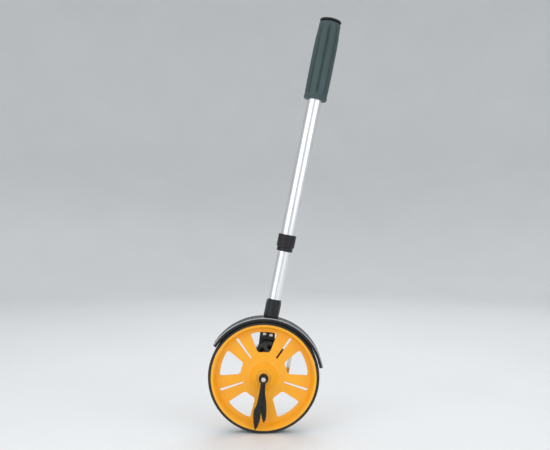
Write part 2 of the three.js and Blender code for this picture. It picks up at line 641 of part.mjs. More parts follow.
const leaning = new THREE.Group();
leaning.position.z = RADIUS;
leaning.rotation.y = LEAN;
leaning.add(
  wheelFork(), mudguard(), ...guardScrews(),
  lowerTube(), tubeRivet(), tubeGuideBush(),
  upperTube(), threadBush(), lockNut(), collet(), grip(), gripEndCap(),
  counterCase(), counterCover(), ...coverScrews(), counterWindow(), ...counterScrews(),
  counterGear(), counterShaft(), tenthsDrum(), pinionShaft(),
  ...DRUMS.map(countDrum), ...DRUMS.map((name, index) => transferPinion(index)),
  resetLever(), resetPivotPin(), resetSpring(),
);

const wheelParts = new THREE.Group();
wheelParts.position.z = RADIUS;
wheelParts.add(
  spokedWheel(), tyre(), bush('front_bush', WHEEL.hubFront, -1), bush('rear_bush', WHEEL.spigotRear, 1),
  driveGear(), longLeg(), shortLeg(), axleBolt(), axleCapNut(), axleRing('front_axle_washer', BLACK_STEEL),
  axleRing('stand_spacer', BLACK_PLASTIC), axleRing('rear_axle_spacer', STEEL),
);

const group = new THREE.Group();
group.add(leaning, wheelParts);

export default group;
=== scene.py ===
"""Looks of a measuring wheel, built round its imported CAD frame.

Pieces are drawn in millimetres in one of three local frames and then put in place. ROLLING has its
origin on the axle. LEANING does too, but is turned with the handle, and HANDLE is LEANING moved to the
handle's middle line. In all three, x and z lie in the wheel's plane and y runs along the axle, from
the stand-leg side to the counter side.
"""

import json
import math

import bmesh
import bpy
from mathutils import Matrix, Vector
from mathutils.geometry import tessellate_polygon


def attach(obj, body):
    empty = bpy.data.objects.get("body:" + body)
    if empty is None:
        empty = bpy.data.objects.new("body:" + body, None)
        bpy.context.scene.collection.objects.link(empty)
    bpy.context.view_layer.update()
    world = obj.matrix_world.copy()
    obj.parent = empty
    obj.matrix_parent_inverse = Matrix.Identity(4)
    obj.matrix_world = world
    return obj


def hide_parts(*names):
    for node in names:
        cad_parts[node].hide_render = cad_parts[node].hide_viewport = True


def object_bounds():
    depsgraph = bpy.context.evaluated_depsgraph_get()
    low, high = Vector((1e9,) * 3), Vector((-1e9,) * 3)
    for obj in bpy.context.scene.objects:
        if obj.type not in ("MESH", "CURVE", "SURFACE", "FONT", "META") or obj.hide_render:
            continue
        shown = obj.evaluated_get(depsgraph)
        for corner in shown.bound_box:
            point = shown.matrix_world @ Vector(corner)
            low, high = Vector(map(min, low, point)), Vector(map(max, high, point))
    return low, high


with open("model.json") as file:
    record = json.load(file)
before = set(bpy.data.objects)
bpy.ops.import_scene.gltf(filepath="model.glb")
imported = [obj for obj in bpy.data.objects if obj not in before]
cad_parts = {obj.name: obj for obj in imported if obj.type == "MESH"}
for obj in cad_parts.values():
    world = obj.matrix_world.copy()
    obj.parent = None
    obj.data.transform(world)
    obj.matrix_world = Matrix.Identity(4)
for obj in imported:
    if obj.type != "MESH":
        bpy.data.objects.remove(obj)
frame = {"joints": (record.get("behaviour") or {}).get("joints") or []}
CAD_BOX = [list(corner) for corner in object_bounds()]

# ------------------ driving sizes
# AXLE_HEIGHT is in metres and LEAN in radians. The other sizes and places are in millimetres, and the
# places are measured from the axle.

MM = 0.001
TURN = 2 * math.pi
JOINTS = {joint["name"]: joint for joint in frame["joints"]}
AXLE_HEIGHT = JOINTS["wheel_spin"]["pos_m"][2]
HANDLE_AXIS = Vector(JOINTS["handle_telescope"]["axis"])
LEAN = math.atan2(HANDLE_AXIS.x, HANDLE_AXIS.z)
HANDLE_X = -6.5
ROLLING = Matrix.Translation((0, 0, AXLE_HEIGHT)) @ Matrix.Scale(MM, 4)
LEANING = Matrix.Translation((0, 0, AXLE_HEIGHT)) @ Matrix.Rotation(LEAN, 4, "Y") @ Matrix.Scale(MM, 4)
HANDLE = LEANING @ Matrix.Translation((HANDLE_X, 0, 0))

RADIUS = AXLE_HEIGHT / MM
SPOKES = 5
AXLE_HOLE = 3.3
RIVET_Z = 122
GUARD_SCREWS, GUARD_SCREW_HOLE = ((-10.6, 58), (-1.0, 58)), 2.2
MOUNT_SCREWS, MOUNT_SCREW_HOLE = ((-6.5, 40), (6.5, 20)), 1.8

CASE_LEFT, CASE_RIGHT, CASE_BOTTOM, CASE_TOP = -13, 18, 17, 43
CASE_FRONT, CASE_REAR = 22.6, 70.4
COVER_SCREW_IN, COVER_SCREW_HOLE = 2.8, 1.3
COVER_SCREWS = [(x, z) for z in (CASE_BOTTOM + COVER_SCREW_IN, CASE_TOP - COVER_SCREW_IN)
                for x in (CASE_LEFT + COVER_SCREW_IN, CASE_RIGHT - COVER_SCREW_IN)]
LEVER_X, LEVER_Z, LEVER_HOLE = 22.5, 34, 1.8

COUNTER_Z, SHAFT_HOLE = 30, 1.8
PINION_X, PINION_HOLE = 11.2, 1.3
GEAR_FRONT, GEAR_REAR = 6.5, 10.3
DRUM_FIRST, DRUM_PITCH, DRUM_BAND = 24.8, 9.0, 6.4
DRUM_RADIUS = 9.5
DRUMS = ("thousands", "hundreds", "tens", "units")

# ------------------ meshes

# Distances, in a piece's own units, within which a point is on the axis or two points are one.
ON_AXIS = 1e-6
SAME_POINT = 1e-4
SLIVER = 5e-4
CLOSE_BY = 1e-3


def soften(corners, closed=True, steps=4):
    """Rounds an outline. Each corner is (u, v) or (u, v, radius), and a quadratic curve leans on it.
    A curve takes at most half of the shorter side next to it."""
    most_of_a_side = 0.49
    points = []
    for index, corner in enumerate(corners):
        here = Vector(corner[:2])
        radius = corner[2] if len(corner) > 2 else 0
        if not radius or (not closed and index in (0, len(corners) - 1)):
            points.append(here)
            continue
        back = Vector(corners[index - 1][:2]) - here
        ahead = Vector(corners[(index + 1) % len(corners)][:2]) - here
        reach = radius / math.tan(back.angle(ahead) / 2)
        start = here + back.normalized() * min(reach, back.length * most_of_a_side)
        end = here + ahead.normalized() * min(reach, ahead.length * most_of_a_side)
        for step in range(steps + 1):
            t = step / steps
            points.append(start * (1 - t) ** 2 + here * 2 * t * (1 - t) + end * t * t)
    return points


def new_piece(name, vertices, faces):
    """An object of these faces, its doubled vertices merged and its faces pointing out."""
    mesh = bpy.data.meshes.new(name)
    mesh.from_pydata(vertices, [], faces)
    work = bmesh.new()
    work.from_mesh(mesh)
    bmesh.ops.remove_doubles(work, verts=work.verts, dist=SAME_POINT)
    bmesh.ops.recalc_face_normals(work, faces=work.faces)
    work.to_mesh(mesh)
    work.free()
    piece = bpy.data.objects.new(name, mesh)
    bpy.context.scene.collection.objects.link(piece)
    return piece


def lathe(name, profile, axis="Y", steps=96, reshape=None, sweep=TURN, start=0.0):
    """Turned from (radius, along) points. The profile closes on itself or ends on the axis.
    reshape(radius, along, angle) gives a flute's or rib's radius. A part turn gets end faces."""
    whole = sweep == TURN
    count = steps if whole else steps + 1
    vertices, rings = [], []
    for radius, along in profile:
        if radius < ON_AXIS:
            rings.append([len(vertices)] * count)
            vertices.append((0, along, 0) if axis == "Y" else (0, 0, along))
            continue
        ring = []
        for step in range(count):
            angle = start + sweep * step / steps
            turned = reshape(radius, along, angle) if reshape else radius
            across, up = turned * math.sin(angle), turned * math.cos(angle)
            ring.append(len(vertices))
            vertices.append((across, along, up) if axis == "Y" else (across, -up, along))
        rings.append(ring)
    closed = profile[0][0] > ON_AXIS
    faces = []
    for low, high in zip(rings, rings[1:] + rings[:1] if closed else rings[1:]):
        for step in range(count if whole else count - 1):
            after = (step + 1) % count
            corners = list(dict.fromkeys((low[step], low[after], high[after], high[step])))
            if len(corners) > 2:
                faces.append(corners)
    if not whole:
        flat = [Vector((radius, along, 0)) for radius, along in profile]
        for end in (0, -1):
            faces += [[rings[corner][end] for corner in face] for face in tessellate_polygon([flat])]
    return new_piece(name, vertices, faces)


def ring_profile(inner, outer, low, high, edge=0.3):
    return soften([(inner, low, edge), (outer, low, edge), (outer, high, edge), (inner, high, edge)])


def rod_profile(radius, low, high, edge=0.3):
    return soften([(0, low), (radius, low, edge), (radius, high, edge), (0, high)], closed=False)


def inset(loop, distance):
    """An anticlockwise loop moved inwards. Corners too tight for it close up."""
    sharpest, closing_rounds = 0.4, 4
    shifted = []
    for index, here in enumerate(loop):
        first = (here - loop[index - 1]).normalized()
        second = (loop[(index + 1) % len(loop)] - here).normalized()
        normal = Vector((-first.y, first.x))
        bisector = (normal + Vector((-second.y, second.x))).normalized()
        shifted.append(here + bisector * distance / max(sharpest, bisector.dot(normal)))
    for _ in range(closing_rounds):
        for index in range(len(loop)):
            if (shifted[index] - shifted[index - 1]).dot(loop[index] - loop[index - 1]) < 0:
                shifted[index] = shifted[index - 1] = (shifted[index] + shifted[index - 1]) / 2
    return shifted


def anticlockwise(loop):
    """The loop without repeated points, turned round if it runs clockwise."""
    points = [Vector(point[:2]) for point in loop]
    points = [point for index, point in enumerate(points)
              if (point - points[index - 1]).length > CLOSE_BY]
    area = sum(points[i - 1].cross(points[i]) for i in range(len(points)))
    return points if area > 0 else points[::-1]


def cap_faces(rings, vertices):
    """Triangles that fill flat rings of vertices, the first ring outside the others."""
    loops, order = [], []
    for ring in rings:
        kept = [corner for index, corner in enumerate(ring)
                if (Vector(vertices[corner]) - Vector(vertices[ring[index - 1]])).length > CLOSE_BY]
        order += kept
        loops.append([Vector((vertices[corner][0], vertices[corner][2], 0)) for corner in kept])
    return [[order[corner] for corner in face] for face in tessellate_polygon(loops)]


def slab(name, outer, holes, front, rear, edge, steps=3, hole_edge=0.3):
    """A plate in the x-z plane, between two y planes, with rounded edges round its outline and holes."""
    loops = [(anticlockwise(outer), 1.0)]
    loops += [(anticlockwise(hole), -min(1.0, hole_edge / edge)) for hole in holes]
    quarter = [step / steps * math.pi / 2 for step in range(steps + 1)]
    sections = [(edge * (1 - math.sin(turn)), front + edge * (1 - math.cos(turn))) for turn in quarter]
    sections += [(shift, front + rear - y) for shift, y in reversed(sections)]
    vertices, faces, previous = [], [], None
    for shift, y in sections:
        rings = []
        for loop, side in loops:
            shifted = inset(loop, side * shift)
            rings.append([len(vertices) + index for index in range(len(shifted))])
            vertices += [(point.x, y, point.y) for point in shifted]
        if previous:
            for low, high in zip(previous, rings):
                for index in range(len(low)):
                    faces.append((low[index - 1], low[index], high[index], high[index - 1]))
        if previous is None or y == sections[-1][1]:
            faces += cap_faces(rings, vertices)
        previous = rings
    return new_piece(name, vertices, faces)


def circle(radius, x=0.0, z=0.0, steps=32):
    return [Vector((x + radius * math.cos(TURN * i / steps), z + radius * math.sin(TURN * i / steps)))
            for i in range(steps)]


def rounded_box(left, right, bottom, top, radius, steps=6):
    corners = ((left, bottom), (right, bottom), (right, top), (left, top))
    return soften([(x, z, radius) for x, z in corners], steps=steps)


def spline(points):
    """Catmull-Rom through the points."""
    path, steps = [], 6
    last = len(points) - 1
    for index in range(last):
        a, b = Vector(points[max(index - 1, 0)]), Vector(points[index])
        c, d = Vector(points[index + 1]), Vector(points[min(index + 2, last)])
        for step in range(steps):
            t = step / steps
            path.append(0.5 * (2 * b + (c - a) * t + (2 * a - 5 * b + 4 * c - d) * t * t
                               + (3 * b - a - 3 * c + d) * t ** 3))
    return path + [Vector(points[last])]


def combine(base, tools, operation="UNION"):
    """A boolean with each tool in turn, cleared of the slivers that near-touching faces leave."""
    for tool in tools:
        modifier = base.modifiers.new("combine", "BOOLEAN")
        modifier.operation = operation
        modifier.solver = "EXACT"
        modifier.object = tool
    graph = bpy.context.evaluated_depsgraph_get()
    mesh = bpy.data.meshes.new_from_object(base.evaluated_get(graph))
    base.modifiers.clear()
    base.data = mesh
    work = bmesh.new()
    work.from_mesh(mesh)
    bmesh.ops.remove_doubles(work, verts=work.verts, dist=SLIVER)
    bmesh.ops.dissolve_degenerate(work, edges=work.edges, dist=SLIVER)
    work.to_mesh(mesh)
    work.free()
    for tool in tools:
        bpy.data.objects.remove(tool)
    return base


def cut(base, *tools):
    return combine(base, tools, "DIFFERENCE")


def join(base, *tools):
    return combine(base, tools)


def moved(piece, x=0.0, y=0.0, z=0.0, turn=0.0, axis="Y"):
    piece.data.transform(Matrix.Translation((x, y, z)) @ Matrix.Rotation(turn, 4, axis))
    return piece


def drill(x, z, radius, low, high, steps=32):
    """A tool that cuts a round hole along y, between low and high."""
    return moved(lathe("drill", rod_profile(radius, low, high, 0), steps=steps), x, 0, z)


def laid_flat(piece, height):
    """Turns an upright plate so that its front faces up, at this height."""
    return moved(piece, 0, 0, height, -math.pi / 2, "X")


def place(piece, where, body, slot, surface, *nodes, sharp=38):
    """Puts a piece where it belongs, on its body, with its finish, for the CAD nodes it stands for.
    Edges that turn by more than sharp degrees stay sharp."""
    piece.data.transform(where)
    piece.data.materials.clear()
    piece.data.materials.append(surface)
    for face in piece.data.polygons:
        face.use_smooth = True
    piece.data.set_sharp_from_angle(angle=math.radians(sharp))
    weigh = piece.modifiers.new("weighted_normals", "WEIGHTED_NORMAL")
    weigh.keep_sharp = True
    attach(piece, body)
    if nodes:
        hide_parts(*nodes)


# ------------------ materials


class Nodes:
    """Adds shader nodes to a material and links them by name."""

    def __init__(self, name):
        self.material = bpy.data.materials.new(name)
        self.material.use_nodes = True
        self.tree = self.material.node_tree
        self.shader = self.tree.nodes["Principled BSDF"]
        self.place = self.add("ShaderNodeTexCoord").outputs["Object"]

    def add(self, kind, inputs=None, **settings):
        node = self.tree.nodes.new(kind)
        for key, value in settings.items():
            setattr(node, key, value)
        for key, value in (inputs or {}).items():
            if isinstance(value, bpy.types.NodeSocket):
                self.tree.links.new(value, node.inputs[key])
            else:
                node.inputs[key].default_value = value
        return node

    def stretched(self, scale, turn=0.0):
        mapping = self.add("ShaderNodeMapping", {"Vector": self.place, "Rotation": (0, turn, 0)})
        return self.add("ShaderNodeMapping", {"Vector": mapping.outputs[0], "Scale": scale}).outputs[0]

    def noise(self, scale, detail=3.0, rough=0.55, where=None):
        return self.add("ShaderNodeTexNoise", {
            "Vector": where or self.place, "Scale": scale,
            "Detail": detail, "Roughness": rough}).outputs["Fac"]

    def spread(self, value, low, high, to_low=0.0, to_high=1.0):
        return self.add("ShaderNodeMapRange", {
            "Value": value, "From Min": low, "From Max": high,
            "To Min": to_low, "To Max": to_high}).outputs[0]

    def mixed(self, factor, first, second):
        node = self.add("ShaderNodeMix", {0: factor}, data_type="RGBA")
        for socket, value in ((node.inputs[6], first), (node.inputs[7], second)):
            if isinstance(value, bpy.types.NodeSocket):
                self.tree.links.new(value, socket)
            else:
                socket.default_value = (*value, 1)
        return node.outputs[2]

    def product(self, first, second):
        return self.add("ShaderNodeMath", {0: first, 1: second}, operation="MULTIPLY").outputs[0]

    def vector(self, operation, *values):
        return self.add("ShaderNodeVectorMath", dict(enumerate(values)), operation=operation).outputs

    def pointiness(self, low, high):
        """0 to 1 between two values of pointiness: 0.5 is flat, less is hollow and more is an edge."""
        return self.spread(self.add("ShaderNodeNewGeometry").outputs["Pointiness"], low, high)

    def bump(self, height, distance, strength, below=None):
        inputs = {"Height": height, "Distance": distance, "Strength": strength}
        if below:
            inputs["Normal"] = below
        return self.add("ShaderNodeBump", inputs).outputs[0]

    def finish(self, color, roughness, normal=None, **constants):
        for key, value in (("Base Color", color), ("Roughness", roughness), ("Normal", normal)):
            if isinstance(value, bpy.types.NodeSocket):
                self.tree.links.new(value, self.shader.inputs[key])
            elif value is not None:
                self.shader.inputs[key].default_value = (*value, 1) if key == "Base Color" else value
        for key, value in constants.items():
            self.shader.inputs[key.replace("_", " ")].default_value = value
        return self.material


def moulded(name, color, shade, worn, roughness, grain=1500, depth=0.00003, wear=0.5, hollow=0.0,
            **constants):
    """Moulded plastic or rubber: two close tones in clouds, a fine grain, rubbed edges, painted shade in the
    hollows.
    """
    n = Nodes(name)
    clouds = n.spread(n.noise(22, 4), 0.35, 0.7)
    base = n.mixed(clouds, color, shade)
    rubbed = n.product(n.pointiness(0.515, 0.58), n.spread(n.noise(260, 4), 0.4, 0.75, 0.0, wear))
    # painted shade: the hollows are darkened towards a quarter of the shade tone, the more the surface is
    # hollow
    if hollow:
        painted_hollow_shade = n.pointiness(0.498, 0.47)
        base = n.mixed(n.product(painted_hollow_shade, hollow), base, tuple(channel * 0.25 for channel in shade))
    grainy = n.noise(grain, 2, 0.6)
    rough = n.spread(n.noise(70, 5), 0.25, 0.8, roughness - 0.06, roughness + 0.08)
    normal = n.bump(grainy, depth, 0.7, n.bump(n.noise(60, 2), depth * 6, 0.25))
    return n.finish(n.mixed(rubbed, base, worn), rough, normal, **constants)


def metal(name, color, shade, roughness, scratch_scale, turn=0.0):
    """Bare or plated metal: lines drawn along the axis with the smallest scratch_scale, faint stains."""
    n = Nodes(name)
    lines = n.noise(1, 6, 0.7, n.stretched(scratch_scale, turn))
    stains = n.spread(n.noise(35, 5, 0.6), 0.35, 0.75)
    base = n.mixed(stains, color, shade)
    rough = n.spread(lines, 0.3, 0.7, roughness - 0.05, roughness + 0.07)
    return n.finish(base, rough, n.bump(lines, 0.000012, 0.6), Metallic=1.0)


def mudguard_plastic(name):
    """Black, with a painted highlight: the rolled bead on its stand-leg edge is painted a light grey."""
    n = Nodes(name)
    clouds = n.spread(n.noise(22, 4), 0.35, 0.7)
    base = n.mixed(clouds, (0.007, 0.007, 0.008), (0.012, 0.012, 0.013))
    from_axle = n.vector("SUBTRACT", n.place, (0, 0, AXLE_HEIGHT))[0]
    in_plane = n.vector("MULTIPLY", from_axle, (1, 0, 1))[0]
    reach = n.vector("LENGTH", in_plane)["Value"]
    along = n.add("ShaderNodeSeparateXYZ", {0: n.place}).outputs["Y"]
    # painted highlight: a light grey band on the outer bead, stand-leg side, standing in for the light it
    # would reflect
    bead = n.product(n.spread(reach, 0.0842, 0.0846), n.spread(along, -0.0136, -0.0140))
    grey = n.mixed(n.spread(n.noise(180, 4), 0.3, 0.7), (0.40, 0.415, 0.42), (0.30, 0.31, 0.315))
    rough = n.spread(n.noise(70, 5), 0.25, 0.8, 0.28, 0.42)
    normal = n.bump(n.noise(1500, 2, 0.6), 0.00002, 0.7)
    return n.finish(n.mixed(bead, base, grey), rough, normal, Specular_IOR_Level=0.36)


def clear_plastic(name):
    n = Nodes(name)
    smears = n.spread(n.noise(90, 5), 0.35, 0.8, 0.03, 0.14)
    return n.finish((0.95, 0.97, 0.97), smears, n.bump(n.noise(900, 2), 0.000004, 0.3),
                    Transmission_Weight=1.0, IOR=1.49)


YELLOW = moulded("yellow_plastic", (0.96, 0.44, 0.012), (0.93, 0.395, 0.009), (0.97, 0.60, 0.12), 0.42,
                 grain=1300, depth=0.00002, wear=0.6, Coat_Weight=0.12, Coat_Roughness=0.25)
TYRE = moulded("tyre_rubber", (0.016, 0.016, 0.017), (0.026, 0.026, 0.027), (0.07, 0.068, 0.065), 0.78,
               grain=2200, depth=0.00005, wear=0.7)
# the grip gets painted shade in the hollows of its flutes (hollow=0.9)
GRIP = moulded("grip_rubber", (0.030, 0.058, 0.060), (0.040, 0.074, 0.076), (0.085, 0.13, 0.13), 0.56,
               grain=2600, depth=0.00005, wear=0.5, hollow=0.9)
BLACK = moulded("black_plastic", (0.008, 0.008, 0.009), (0.014, 0.014, 0.015), (0.065, 0.065, 0.068), 0.36,
                grain=1700, depth=0.00003, wear=0.6, Specular_IOR_Level=0.36)
BLACK_ACETAL = moulded("black_acetal", (0.010, 0.010, 0.011), (0.016, 0.016, 0.017), (0.09, 0.09, 0.09),
                       0.45, grain=2400, depth=0.00002, wear=0.7, Specular_IOR_Level=0.4)
# the mudguard's finish carries a painted highlight on its stand-leg bead
GUARD = mudguard_plastic("mudguard_plastic")
LEG = moulded("black_powder_coat", (0.008, 0.009, 0.010), (0.013, 0.014, 0.015), (0.12, 0.12, 0.12), 0.42,
              grain=1100, depth=0.00005, wear=0.5, Specular_IOR_Level=0.34)
ACETAL = moulded("white_acetal", (0.74, 0.72, 0.65), (0.66, 0.64, 0.57), (0.8, 0.78, 0.72), 0.45)
DRUM_WHITE = moulded("drum_white", (0.80, 0.79, 0.74), (0.76, 0.74, 0.68), (0.85, 0.84, 0.8), 0.4)
DRUM_RED = moulded("drum_red", (0.50, 0.022, 0.014), (0.42, 0.016, 0.012), (0.6, 0.08, 0.05), 0.4)
DIGIT_BLACK = moulded("digit_black", (0.012, 0.012, 0.012), (0.02, 0.02, 0.02), (0.05, 0.05, 0.05), 0.5)
DIGIT_WHITE = moulded("digit_white", (0.85, 0.84, 0.8), (0.8, 0.79, 0.75), (0.9, 0.9, 0.88), 0.5)
TUBE = metal("satin_aluminium", (0.86, 0.865, 0.875), (0.80, 0.805, 0.815), 0.30, (2600, 2600, 14), -LEAN)
STEEL = metal("zinc_plated_steel", (0.72, 0.73, 0.74), (0.60, 0.61, 0.62), 0.24, (900, 200, 900))
NICKEL = metal("nickel_plate", (0.72, 0.69, 0.62), (0.62, 0.59, 0.52), 0.2, (1200, 900, 60), -LEAN)
BRONZE = metal("bearing_bronze", (0.52, 0.34, 0.14), (0.40, 0.25, 0.10), 0.35, (1500, 150, 1500))
CLEAR = clear_plastic("window_clear")

# ------------------ wheel and tyre


def opening_outline(turn):
    """A wedge opening: an arc at its rim end and its hub end, and curves that lean on its four corners."""
    outer, outer_half, outer_round = 63.3, math.radians(17.7), 3.0
    inner, inner_half, inner_round = 34.0, math.radians(14.5), 5.0
    outer_arc, outer_steps = outer_half - outer_round / outer, 5
    inner_arc, inner_steps = inner_half - inner_round / inner, 4

    def polar(reach, angle):
        return Vector((reach * math.cos(angle), reach * math.sin(angle)))

    def leaning(first, corner, last):
        shares = [step / 8 for step in range(1, 8)]
        return [first * (1 - t) ** 2 + corner * 2 * t * (1 - t) + last * t * t for t in shares]

    tip, root = polar(outer, outer_half), polar(inner, inner_half)
    side = (tip - root).normalized()
    near_tip, near_root = tip - side * outer_round, root + side * inner_round
    half = [polar(outer, outer_arc * step / outer_steps) for step in range(outer_steps + 1)]
    half += leaning(half[-1], tip, near_tip) + [near_tip, near_root]
    half += leaning(near_root, root, polar(inner, inner_arc))
    half += [polar(inner, inner_arc * (1 - step / inner_steps)) for step in range(inner_steps + 1)]
    other_half = [Vector((point.x, -point.y)) for point in half[-2:0:-1]]
    rotate = Matrix.Rotation(turn, 2)
    return [rotate @ point for point in half + other_half]


def slot_outline(turn):
    """A radial slot with round ends, a little wider at the rim."""
    inner, outer, inner_half, outer_half = 30.8, 66.2, 1.2, 1.8
    half_turn = [math.pi * (step / 8 - 0.5) for step in range(9)]
    points = [(outer + outer_half * (math.cos(angle) - 1), outer_half * math.sin(angle))
              for angle in half_turn]
    points += [(inner - inner_half * (math.cos(angle) - 1), -inner_half * math.sin(angle))
               for angle in half_turn]
    rotate = Matrix.Rotation(turn, 2)
    return [rotate @ Vector(point) for point in points]


def build_wheel():
    """One moulding: a web with openings and slots, a rim, a hub and two ribs behind each spoke."""
    web_front, web_rear, rib_half, rib_spread = 1.5, 5.5, 0.8, math.radians(10)
    openings = [math.pi / 2 + TURN * spoke / SPOKES for spoke in range(SPOKES)]
    holes = [opening_outline(turn) for turn in openings]
    holes += [slot_outline(turn + math.pi / SPOKES) for turn in openings]
    web = slab("spoked_wheel_web", circle(70.2, steps=192), holes + [circle(17, steps=64)],
               web_front, web_rear, 0.7, steps=4, hole_edge=0.7)
    rim = lathe("spoked_wheel_rim", soften([
        (66.9, 2.4), (68.5, 0.6, 0.8), (70.6, -7.5, 2), (72.2, -11.5, 0.9), (75.4, -11.5, 0.7),
        (75.4, -10.6, 0.3), (75.4, 11.5, 0.7), (72.6, 11.5, 0.7), (71.4, 6.4, 0.8), (69.6, 4.6)]),
        steps=192)
    hub = lathe("wheel_casting", soften([
        (5.2, -9.8, 0.3), (8.2, -9.8, 0.2), (8.6, -9.2, 0.3), (10.4, -9.2, 0.3), (10.8, -9.8, 0.2),
        (12.5, -9.8, 1.0), (14.6, -6.4, 5), (20.4, 0.2, 3.5), (24.0, 2.2), (24.0, 4.8),
        (19.5, 6.4, 1.5), (7.0, 6.4, 0.3), (7.0, 10.6, 0.3), (5.2, 10.6, 0.3)]), steps=128)
    ribs = []
    for turn in openings:
        for side in (-1, 1):
            angle = turn + math.pi / SPOKES + side * rib_spread
            rib = slab("rib", soften([(53, 4.5), (72.2, 4.5), (72.2, 8.6), (69.5, 8.6, 1.5), (56, 5.9, 4)]),
                       [], -rib_half, rib_half, 0.25, 2)
            rib.data.transform(Matrix.Rotation(-angle, 4, "Y") @ Matrix.Rotation(-math.pi / 2, 4, "X"))
            ribs.append(rib)
    wheel = join(hub, web, rim, *ribs)
    place(wheel, ROLLING, "wheel", "yellow_plastic", YELLOW, "spoked_wheel", sharp=30)


def build_tyre():
    """A thin tyre, its tread cut by slanting grooves that fade out at the shoulders."""
    ribs, depth, slant = 150, 0.55, 0.012
    flat_half, fade_width, tread_depth = 9.4, 1.4, 0.9

    def ribbed(radius, along, angle):
        if radius < RADIUS - tread_depth:
            return radius
        wave = math.cos(ribs * (angle + slant * along))
        past_flat = max(0.0, abs(along) - flat_half)
        fade = max(0.0, 1 - past_flat / fade_width)
        groove = max(0.0, min(1.0, 0.5 - 1.6 * wave))
        return radius - depth * fade * groove

    crown = [(RADIUS, -flat_half + 2 * flat_half * step / 12) for step in range(13)]
    profile = soften([(75.7, -11.2, 0.4), (RADIUS - 2.6, -11.2, 0.8), (RADIUS - 0.7, -10.6, 0.9), *crown,
                      (RADIUS - 0.7, 10.6, 0.9), (RADIUS - 2.6, 11.2, 0.8), (75.7, 11.2, 0.4)])
    tyre = lathe("tyre_tread", profile, steps=ribs * 6, reshape=ribbed)
    place(tyre, ROLLING, "wheel", "tyre_rubber", TYRE, "tyre", sharp=50)


def build_bushes():
    """A flanged bush in each end of the hub."""
    for name, face, out in (("front_bush", -9.8, -1), ("rear_bush", 10.6, 1)):
        seat, rim, inside = face + out * 0.3, face + out * 1.4, face - out * 6.7
        bush = lathe(name + "_fine", soften([
            (AXLE_HOLE, rim, 0.2), (6.5, rim, 0.25), (6.5, seat, 0.2), (4.9, seat), (4.9, inside, 0.3),
            (AXLE_HOLE, inside, 0.3)]), steps=64)
        place(bush, ROLLING, "wheel", "bearing_bronze", BRONZE, name)


# ------------------ axle and stand legs


def hexagon(radius, turn=0.0):
    """A hexagon's corners, for soften, its first corner turned by turn from x."""
    angles = [turn + TURN * corner / 6 for corner in range(6)]
    return [(radius * math.cos(angle), radius * math.sin(angle), 0.6) for angle in angles]


def build_axle():
    """The bolt, its domed cap nut on the stand-leg side, a washer and two spacers."""
    head = slab("axle_bolt_fine", soften(hexagon(5.8)), [], 22.6, 26.6, 0.4)
    shank = lathe("shank", soften([
        (0, -23.6), (2.0, -23.6, 0.4), (2.0, -19.0), (3.0, -19.0, 0.3), (3.0, 25.0), (0, 25.0)],
        closed=False), steps=48)
    place(join(head, shank), ROLLING, "frame", "bright_steel", STEEL, "axle_bolt")
    collar = slab("axle_cap_nut_fine", soften(hexagon(3.6, 0.2)), [], -23.3, -20.3, 0.3)
    dome = lathe("dome", soften([
        (0, -25.9), (1.6, -25.7, 1.2), (2.75, -24.4, 1.4), (2.95, -22.0), (2.4, -21.0), (0, -21.0)],
        closed=False), steps=48)
    nut = cut(join(collar, dome), drill(0, 0, 2.3, -24.0, -19.0))
    place(nut, ROLLING, "frame", "bright_steel", STEEL, "axle_cap_nut")
    for name, slot, surface, outer, low, high in (
            ("front_axle_washer", "black_steel", LEG, 5.2, -20.0, -19.2),
            ("stand_spacer", "black_plastic", BLACK, 6.4, -12.9, -11.5),
            ("rear_axle_spacer", "bright_steel", STEEL, 5.5, 12.3, 15.5)):
        place(lathe(name + "_fine", ring_profile(AXLE_HOLE, outer, low, high, 0.2), steps=64),
              ROLLING, "frame", slot, surface, name)


# A stand leg's outline and sunk panel, as (x, down) points from the axle for a spline to run through.
LONG_LEG = {
    "node": "stand_leg_long", "swing": 9.9, "front": -18.9, "rear": -16.1,
    "right": [(2.9, 4), (2.6, 20), (3.2, 38), (4.9, 55), (3.6, 66), (0.6, 73.4)],
    "left": [(0.6, 73.4), (-2.6, 66), (-5.4, 54), (-6.0, 46), (-3.4, 37), (-2.6, 20), (-2.9, 4)],
    "panel": [(1.4, 42), (2.9, 54), (1.9, 63), (0.2, 68), (-1.6, 63), (-3.4, 54), (-3.6, 47), (-1.6, 41)],
}
SHORT_LEG = {
    "node": "stand_leg_short", "swing": 0.0, "front": -15.8, "rear": -13.2,
    "right": [(2.9, 4), (2.2, 20), (3.7, 33), (4.1, 46), (3.2, 57), (0, 63)],
    "left": [(0, 63), (-2.6, 56), (-4.0, 46), (-3.6, 34), (-2.2, 20), (-2.9, 4)],
    "panel": [(1.8, 36), (2.3, 46), (1.6, 54), (0, 58.5), (-1.3, 53), (-2.2, 45), (-1.8, 37), (0, 34)],
}


def build_leg(leg):
    """A leaf-shaped blade with a shallow sunk panel and an eye on the axle."""
    front, rear, panel_depth, clear = leg["front"], leg["rear"], 0.55, 2
    outline = spline(leg["right"]) + spline(leg["left"])[1:]
    blade = slab(leg["node"] + "_fine", [(x, -down) for x, down in outline], [], front, rear, 0.6, steps=4)
    eye = lathe("eye", ring_profile(AXLE_HOLE, 6.75, front, rear, 0.5), steps=64)
    loop = spline(leg["panel"] + leg["panel"][:1])[:-1]
    panel = slab("panel", [(x, -down) for x, down in loop], [], front - clear, front + panel_depth, 0.2)
    bore = drill(0, 0, AXLE_HOLE, front - clear, rear + clear, steps=64)
    body = cut(join(blade, eye), panel, bore)
    where = ROLLING @ Matrix.Rotation(math.radians(leg["swing"]), 4, "Y")
    place(body, where, leg["node"], "black_steel", LEG, leg["node"])


# ------------------ screws


